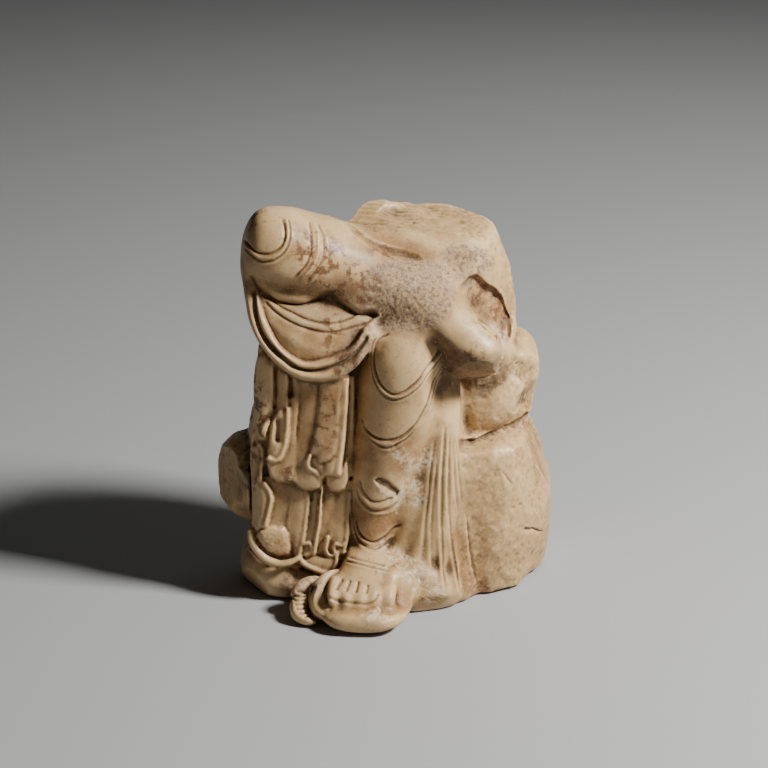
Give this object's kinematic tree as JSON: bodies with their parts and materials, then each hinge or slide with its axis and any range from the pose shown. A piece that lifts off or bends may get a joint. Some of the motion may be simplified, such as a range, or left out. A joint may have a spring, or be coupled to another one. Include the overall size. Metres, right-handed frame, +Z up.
{
  "type": "marble figure fragment",
  "caption": "Lower half of a carved seated figure with its rock seat: a leg folded over a hanging leg, a foot on a lotus pad, broken off at the waist.",
  "frame": {"origin": "on the surface it stands on, under the middle of the whole block", "axes": "+Z up, -Y the front that the knees and the foot face, +X to the right as seen from the front"},
  "size_m": [0.1464, 0.113, 0.1707],
  "materials": {
    "marble": "old polished marble, warm ivory with amber and brown patina, soil in the grooves and matt white chips"
  },
  "bodies": {
    "root": {"marble_figure": "marble"}
  },
  "joints": []
}
